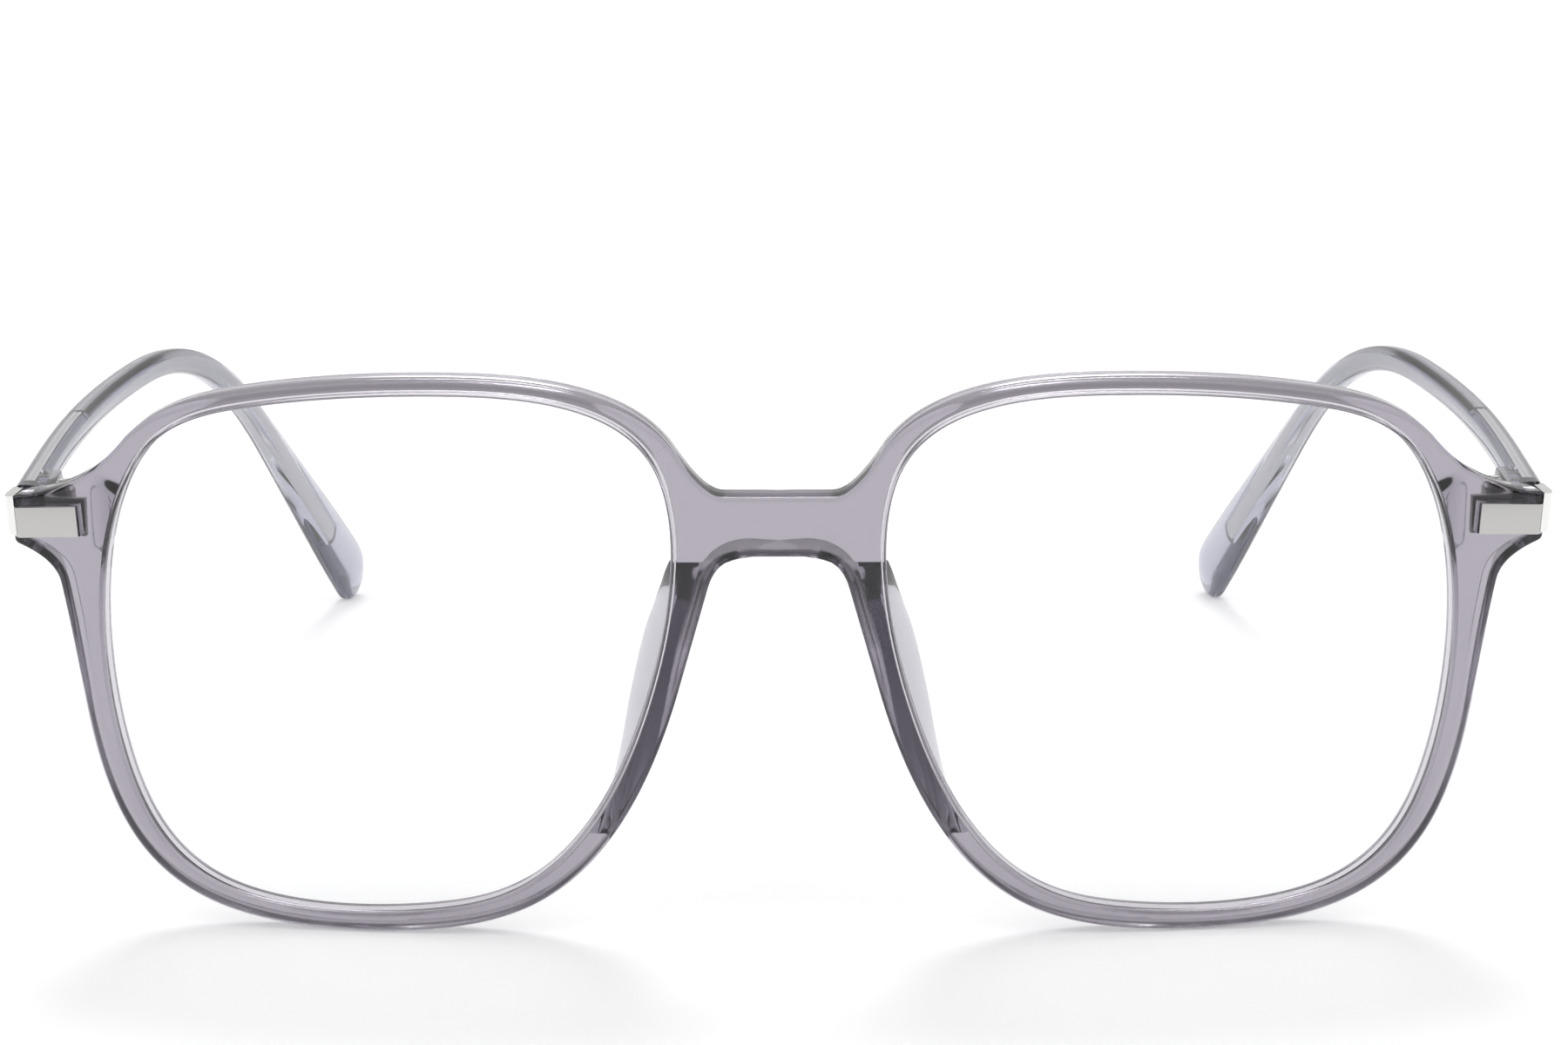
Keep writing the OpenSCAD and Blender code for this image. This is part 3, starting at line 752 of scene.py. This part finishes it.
def arm_ways(s):
    """The way along, across and up the temple at distances from the joint."""
    drop = np.radians(arm_drop + ear_bend * eased((s - ear_from) / ear_over))
    yaw = np.radians(arm_curve * eased((s - curve_from) / curve_over) - arm_splay)
    along = np.stack([-np.sin(yaw) * np.cos(drop), np.cos(yaw) * np.cos(drop), -np.sin(drop)], -1)
    across = np.stack([np.cos(yaw), np.sin(yaw), 0 * yaw], -1)
    return along, across, np.cross(across, along)


steps_along = arm_ways((walk[1:] + walk[:-1]) / 2)[0] * (walk[1] - walk[0])
arm_path = arm_start + stand_shift + np.vstack([[0, 0, 0], np.cumsum(steps_along, 0)])


def arm_place(s):
    """Places on the temple's middle line, in mm."""
    return np.stack([np.interp(s, walk, arm_path[:, k]) for k in range(3)], -1)


def sweep_tree():
    """Sweeps a rounded rectangle along a line of points that carry their own sizes and directions."""
    tree = bpy.data.node_groups.new("temple_sweep", "GeometryNodeTree")
    face = tree.interface
    face.new_socket("Line", in_out="INPUT", socket_type="NodeSocketGeometry")
    face.new_socket("Sides", in_out="INPUT", socket_type="NodeSocketInt")
    face.new_socket("Squareness", in_out="INPUT", socket_type="NodeSocketFloat")
    face.new_socket("Finish", in_out="INPUT", socket_type="NodeSocketMaterial")
    face.new_socket("Swept", in_out="OUTPUT", socket_type="NodeSocketGeometry")
    node = tree.nodes.new
    link = tree.links.new
    given = node("NodeGroupInput")
    result = node("NodeGroupOutput")

    def sums(kind, a, b=None):
        """One Math node on numbers or outputs."""
        step = node("ShaderNodeMath")
        step.operation = kind
        for slot, value in ((0, a), (1, b)):
            if value is None:
                continue
            if isinstance(value, (int, float)):
                step.inputs[slot].default_value = value
            else:
                link(value, step.inputs[slot])
        return step.outputs[0]

    size = node("GeometryNodeAttributeDomainSize")
    link(given.outputs["Line"], size.inputs["Geometry"])
    around = sums("ADD", given.outputs["Sides"], 1)
    net = node("GeometryNodeMeshGrid")
    link(size.outputs["Point Count"], net.inputs["Vertices X"])
    link(around, net.inputs["Vertices Y"])
    index = node("GeometryNodeInputIndex").outputs[0]
    station = sums("FLOOR", sums("DIVIDE", sums("ADD", index, 0.5), around))
    corner = sums("SUBTRACT", index, sums("MULTIPLY", station, around))
    angle = sums("MULTIPLY", sums("DIVIDE", corner, given.outputs["Sides"]), 2 * math.pi)

    def carried(label, kind):
        """The value that the line's point at this station carries."""
        named = node("GeometryNodeInputNamedAttribute")
        named.data_type = kind
        named.inputs["Name"].default_value = label
        taken = node("GeometryNodeSampleIndex")
        taken.data_type = kind
        link(given.outputs["Line"], taken.inputs["Geometry"])
        link(next(o for o in named.outputs if o.enabled and o.name == "Attribute"), taken.inputs["Value"])
        link(station, taken.inputs["Index"])
        return taken.outputs["Value"]

    wide = sums("COSINE", angle)
    tall = sums("SINE", angle)
    power = given.outputs["Squareness"]
    wide_part = sums("POWER", sums("ABSOLUTE", wide), power)
    tall_part = sums("POWER", sums("ABSOLUTE", tall), power)
    reach = sums("POWER", sums("ADD", wide_part, tall_part), sums("DIVIDE", -1.0, power))

    def scaled(vector, factor):
        """A vector times a number."""
        step = node("ShaderNodeVectorMath")
        step.operation = "SCALE"
        link(vector, step.inputs[0])
        link(factor, step.inputs["Scale"])
        return step.outputs[0]

    def added(a, b):
        """The sum of two vectors."""
        step = node("ShaderNodeVectorMath")
        step.operation = "ADD"
        link(a, step.inputs[0])
        link(b, step.inputs[1])
        return step.outputs[0]

    wide_step = sums("MULTIPLY", sums("MULTIPLY", wide, reach), carried("half_wide", "FLOAT"))
    tall_step = sums("MULTIPLY", sums("MULTIPLY", tall, reach), carried("half_tall", "FLOAT"))
    sideways = scaled(carried("across", "FLOAT_VECTOR"), wide_step)
    upwards = scaled(carried("upward", "FLOAT_VECTOR"), tall_step)
    put = node("GeometryNodeSetPosition")
    link(net.outputs["Mesh"], put.inputs["Geometry"])
    link(added(carried("centre", "FLOAT_VECTOR"), added(sideways, upwards)), put.inputs["Position"])
    merge = node("GeometryNodeMergeByDistance")
    merge.inputs["Distance"].default_value = 2e-6
    link(put.outputs["Geometry"], merge.inputs["Geometry"])
    whole = node("GeometryNodeRealizeInstances")
    link(merge.outputs["Geometry"], whole.inputs["Geometry"])
    finish = node("GeometryNodeSetMaterial")
    link(whole.outputs["Geometry"], finish.inputs["Geometry"])
    link(given.outputs["Finish"], finish.inputs["Material"])
    link(finish.outputs["Geometry"], result.inputs["Swept"])
    return tree


sweep = sweep_tree()
sockets = {item.name: item.identifier for item in sweep.interface.items_tree if item.in_out == "INPUT"}


def swept_piece(name, s, half_wide, half_tall, side, sides, squareness, finish):
    """A closed bar along the temple's path, with its ends drawn in to a point."""
    s = np.r_[s[0], s, s[-1]]
    half_wide = np.r_[0, half_wide, 0]
    half_tall = np.r_[0, half_tall, 0]
    along, across, upward = arm_ways(s)
    centre = arm_place(s) * mm * (side, 1, 1)
    line = bpy.data.meshes.new(name)
    line.from_pydata(centre.tolist(), [(k, k + 1) for k in range(len(s) - 1)], [])
    values = {"centre": centre, "across": across * (side, 1, 1), "upward": upward * (side, 1, 1)}
    for label, value in values.items():
        line.attributes.new(label, "FLOAT_VECTOR", "POINT").data.foreach_set("vector", value.ravel())
    for label, value in (("half_wide", half_wide), ("half_tall", half_tall)):
        line.attributes.new(label, "FLOAT", "POINT").data.foreach_set("value", value * mm)
    piece = bpy.data.objects.new(name, line)
    bpy.context.scene.collection.objects.link(piece)
    maker = piece.modifiers.new("sweep", "NODES")
    maker.node_group = sweep
    maker[sockets["Sides"]] = sides
    maker[sockets["Squareness"]] = float(squareness)
    maker[sockets["Finish"]] = finish
    settle(piece)
    body = bmesh.new()
    body.from_mesh(piece.data)
    bmesh.ops.recalc_face_normals(body, faces=body.faces)
    body.to_mesh(piece.data)
    body.free()
    return piece


temple_plastic = clear_plastic("clear_temple_plastic", (0.93, 0.925, 0.95), (0.6, 0.6, 0.68), 700.0, 0.05)
tip_round = 3.4
tip_s = arm_long - tip_round * (1 - np.sin(np.linspace(0, math.pi / 2, 12)))
arm_s = np.r_[np.arange(0, arm_long - tip_round, 0.8), tip_s]
closing = np.sqrt(np.clip(1 - np.clip(1 - (arm_long - arm_s) / tip_round, 0, 1) ** 2, 0.004, 1))
arm_half_tall = (arm_tall + (tip_tall - arm_tall) * eased((arm_s - 92) / 46)) / 2 * closing
arm_half_wide = (arm_wide + (tip_wide - arm_wide) * eased((arm_s - 59) / 79)) / 2 * (0.3 + 0.7 * closing)
arm_frame = np.stack([v[0] for v in arm_ways(np.array([0.0]))])
leaf_in = pin_own[0] + 1.25 - arm_own[0]
boss_plan = [(leaf_in, 0.2), (0.8, 0.2), (0.8, 8.6), (-arm_wide / 2 + 0.2, 8.6), (leaf_in, 7.8)]
boss_low = end_z + 0.1 - arm_own[2] - 1.81 - 0.5
boss_top = arm_tall / 2 - 0.15
leaf_from = pin_own[1] - arm_own[1] - 0.2


def at_arm(points):
    """From the frame of the left temple's front end to the standing glasses."""
    along, across, upward = arm_frame
    x, y, z = np.asarray(points, float).T
    return (arm_start + stand_shift + x[:, None] * across + y[:, None] * along + z[:, None] * upward) * mm


joint_back = front_thick + 0.15
joint_plan = [(-6, joint_back - 8), (8, joint_back - 8), (8, joint_back), (-6, joint_back)]
arm_leaf_plan = [
    (leaf_in - 1, leaf_from - 0.02), (leaf_in + 0.92, leaf_from - 0.02),
    (leaf_in + 0.92, leaf_from + 6.62), (leaf_in - 1, leaf_from + 6.62),
]
arm_leaf_middle = end_z + hinge_lift - arm_own[2]
arm_leaf_half = 1.83
for side, word in ((1, "left"), (-1, "right")):
    turned = (lambda f: f) if side > 0 else mirrored
    arm = swept_piece("temple_" + word, arm_s, arm_half_wide, arm_half_tall, side, 40, 2.6, temple_plastic)
    boss = prism("boss", boss_plan, boss_low, boss_top, turned(at_arm), 0.25, 4)
    carve(arm, [boss], "UNION")
    leaf_ends = (arm_leaf_middle - arm_leaf_half, arm_leaf_middle + arm_leaf_half)
    cuts = [
        prism("joint", joint_plan, -10, 10, turned(at_end)),
        prism("leaf_pocket", arm_leaf_plan, *leaf_ends, turned(at_arm)),
    ]
    carve(arm, cuts)
    dress(arm, temple_plastic)
    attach(arm, word + "_temple")
    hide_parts("temple_arm_" + word)

# The temple cores
# A flat strip of drawn metal inside each temple, with a broader head behind the hinge.
# The head ends in a round shoulder, and the strip stops short of the tip.
core_wide = 1.1
core_tall = 1.6
flat_tall = 2.6
head_tall = 2.2
head_end = 36.0
core_end = arm_long - 12.4
core_steel = worked_metal("drawn_core_metal", (0.8, 0.81, 0.78), 0.5, 4000.0, 1)
channel_gap = 0.07
end_curve = 1 - np.sin(np.linspace(0, math.pi / 2, 9))


def core_sizes(from_s, to_s, grow):
    """Stations along a core with its half width and half height there."""
    s = np.r_[
        np.linspace(from_s, head_end - 0.5, 40), head_end - 0.5 * end_curve,
        np.linspace(head_end + 0.2, to_s - 0.8, 90), to_s - 0.8 * end_curve,
    ]
    head_share = np.sqrt(np.clip(1 - np.clip((s - head_end + 0.5) / 0.5, 0, 1) ** 2, 0, 1))
    tail_share = eased((s - 88) / 24)
    head_more = (head_tall - core_tall) * head_share
    tail_more = (flat_tall - core_tall) * tail_share
    half_tall = (core_tall + head_more + tail_more) / 2 + grow
    half_tall *= np.sqrt(np.clip(1 - np.clip(1 - (to_s - s) / 0.8, 0, 1) ** 2, 0.01, 1))
    return s, np.full(len(s), core_wide / 2 + grow), half_tall


for side, word in ((1, "left"), (-1, "right")):
    core = swept_piece("temple_wire_" + word, *core_sizes(3, core_end, 0), side, 28, 6.0, core_steel)
    dress(core, core_steel)
    channel_sizes = core_sizes(2.9, core_end + 0.45, channel_gap)
    channel = swept_piece("channel", *channel_sizes, side, 28, 6.0, core_steel)
    arm = bpy.data.objects["temple_" + word]
    carve(arm, [channel])
    dress(arm, temple_plastic)
    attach(core, word + "_temple")
    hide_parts("temple_core_" + word)

# The table
# A plain white table top. It shows as white and keeps the soft shadow of the glasses.
table_mesh = bpy.data.meshes.new("table_top")
table_mesh.from_pydata([(-6, -6, 0), (6, -6, 0), (6, 6, 0), (-6, 6, 0)], [], [(0, 1, 2, 3)])
table = bpy.data.objects.new("table_top", table_mesh)
bpy.context.scene.collection.objects.link(table)
white_table = bpy.data.materials.new("white_table")
white_table.use_nodes = True
tree = white_table.node_tree
paint = tree.nodes["Principled BSDF"]
paint.inputs["Roughness"].default_value = 0.7
paint.inputs["Specular IOR Level"].default_value = 0.1
paint.inputs["Base Color"].default_value = (0.86, 0.86, 0.87, 1)
glow = tree.nodes.new("ShaderNodeEmission")
glow.inputs["Color"].default_value = (1, 1, 1, 1)
path_kind = tree.nodes.new("ShaderNodeLightPath")
seen = tree.nodes.new("ShaderNodeMath")
seen.operation = "MAXIMUM"
seen_too = tree.nodes.new("ShaderNodeMath")
seen_too.operation = "MAXIMUM"
level = tree.nodes.new("ShaderNodeMath")
level.operation = "MULTIPLY"
level.inputs[1].default_value = 0.24
total = tree.nodes.new("ShaderNodeAddShader")
tree.links.new(path_kind.outputs["Is Camera Ray"], seen.inputs[0])
tree.links.new(path_kind.outputs["Is Glossy Ray"], seen.inputs[1])
tree.links.new(seen.outputs[0], seen_too.inputs[0])
tree.links.new(path_kind.outputs["Is Transmission Ray"], seen_too.inputs[1])
tree.links.new(seen_too.outputs[0], level.inputs[0])
tree.links.new(level.outputs[0], glow.inputs["Strength"])
tree.links.new(paint.outputs["BSDF"], total.inputs[0])
tree.links.new(glow.outputs["Emission"], total.inputs[1])
tree.links.new(total.outputs["Shader"], tree.nodes["Material Output"].inputs["Surface"])
table_mesh.materials.append(white_table)

# The light
# A white studio round the table, darker behind the camera.
# One broad soft light comes from above the back, and a weaker one from each side.
world = bpy.data.worlds.new("white_studio")
bpy.context.scene.world = world
world.use_nodes = True
tree = world.node_tree
sky = tree.nodes["Background"]
sky.inputs["Color"].default_value = (1, 1, 1, 1)
path_kind = tree.nodes.new("ShaderNodeLightPath")
clear_or_shiny = tree.nodes.new("ShaderNodeMath")
clear_or_shiny.operation = "MAXIMUM"
way_out = tree.nodes.new("ShaderNodeTexCoord")
split = tree.nodes.new("ShaderNodeSeparateXYZ")
low_band = tree.nodes.new("ShaderNodeMapRange")
low_band.interpolation_type = "SMOOTHSTEP"
low_band.inputs["From Min"].default_value = -0.75
low_band.inputs["From Max"].default_value = -0.15
low_band.inputs["To Min"].default_value = 0.14
low_band.inputs["To Max"].default_value = 0.72
bright_top = tree.nodes.new("ShaderNodeMapRange")
bright_top.interpolation_type = "SMOOTHSTEP"
bright_top.inputs["From Min"].default_value = 0.3
bright_top.inputs["From Max"].default_value = 0.85
studio = tree.nodes.new("ShaderNodeMath")
studio.operation = "MAXIMUM"
for_shine = tree.nodes.new("ShaderNodeMapRange")
for_shine.inputs["To Min"].default_value = 0.6
behind = tree.nodes.new("ShaderNodeMath")
behind.operation = "MAXIMUM"
link = tree.links.new
link(path_kind.outputs["Is Glossy Ray"], clear_or_shiny.inputs[0])
link(path_kind.outputs["Is Transmission Ray"], clear_or_shiny.inputs[1])
link(way_out.outputs["Generated"], split.inputs[0])
link(split.outputs["Y"], low_band.inputs["Value"])
link(split.outputs["Z"], bright_top.inputs["Value"])
link(low_band.outputs["Result"], studio.inputs[0])
link(bright_top.outputs["Result"], studio.inputs[1])
link(clear_or_shiny.outputs[0], for_shine.inputs["Value"])
link(studio.outputs[0], for_shine.inputs["To Max"])
link(for_shine.outputs["Result"], behind.inputs[0])
link(path_kind.outputs["Is Camera Ray"], behind.inputs[1])
link(behind.outputs[0], sky.inputs["Strength"])


def broad_sun(name, height, turn, spread, strength):
    """A wide soft sun at a height and compass turn, in degrees, that lights the whole table evenly."""
    lamp = bpy.data.lights.new(name, "SUN")
    lamp.energy = strength
    lamp.angle = math.radians(spread)
    holder = bpy.data.objects.new(name, lamp)
    up, round_z = math.radians(height), math.radians(turn)
    way = Vector((math.cos(up) * math.sin(round_z), math.cos(up) * math.cos(round_z), math.sin(up)))
    holder.matrix_world = way.to_track_quat("Z", "Y").to_matrix().to_4x4()
    bpy.context.scene.collection.objects.link(holder)


broad_sun("back_light", 56, 0, 22, 1.1)
broad_sun("left_light", 50, -125, 40, 0.35)
broad_sun("right_light", 50, 125, 40, 0.35)

# The camera
# It stands in front of the glasses and a little above them, as in the photograph.
eye = bpy.data.cameras.new("photo_camera")
eye.sensor_width = 36.0
eye.lens = 101.88
eye.clip_start = 0.01
eye_holder = bpy.data.objects.new("photo_camera", eye)
eye_own = np.array([0.9, -395.5, 135.2])
eye_place = (eye_own + stand_shift) * mm
down_angle, roll_angle, side_angle = 13.5, -0.14, 0.056
look_down = Matrix.Rotation(math.radians(90 - down_angle), 4, "X")
roll = Matrix.Rotation(math.radians(roll_angle), 4, "Z")
turn_left = Matrix.Rotation(math.radians(side_angle), 4, "Z")
eye_holder.matrix_world = Matrix.Translation(eye_place) @ turn_left @ look_down @ roll
bpy.context.scene.collection.objects.link(eye_holder)
bpy.context.scene.camera = eye_holder
bpy.context.scene.view_settings.view_transform = "Standard"
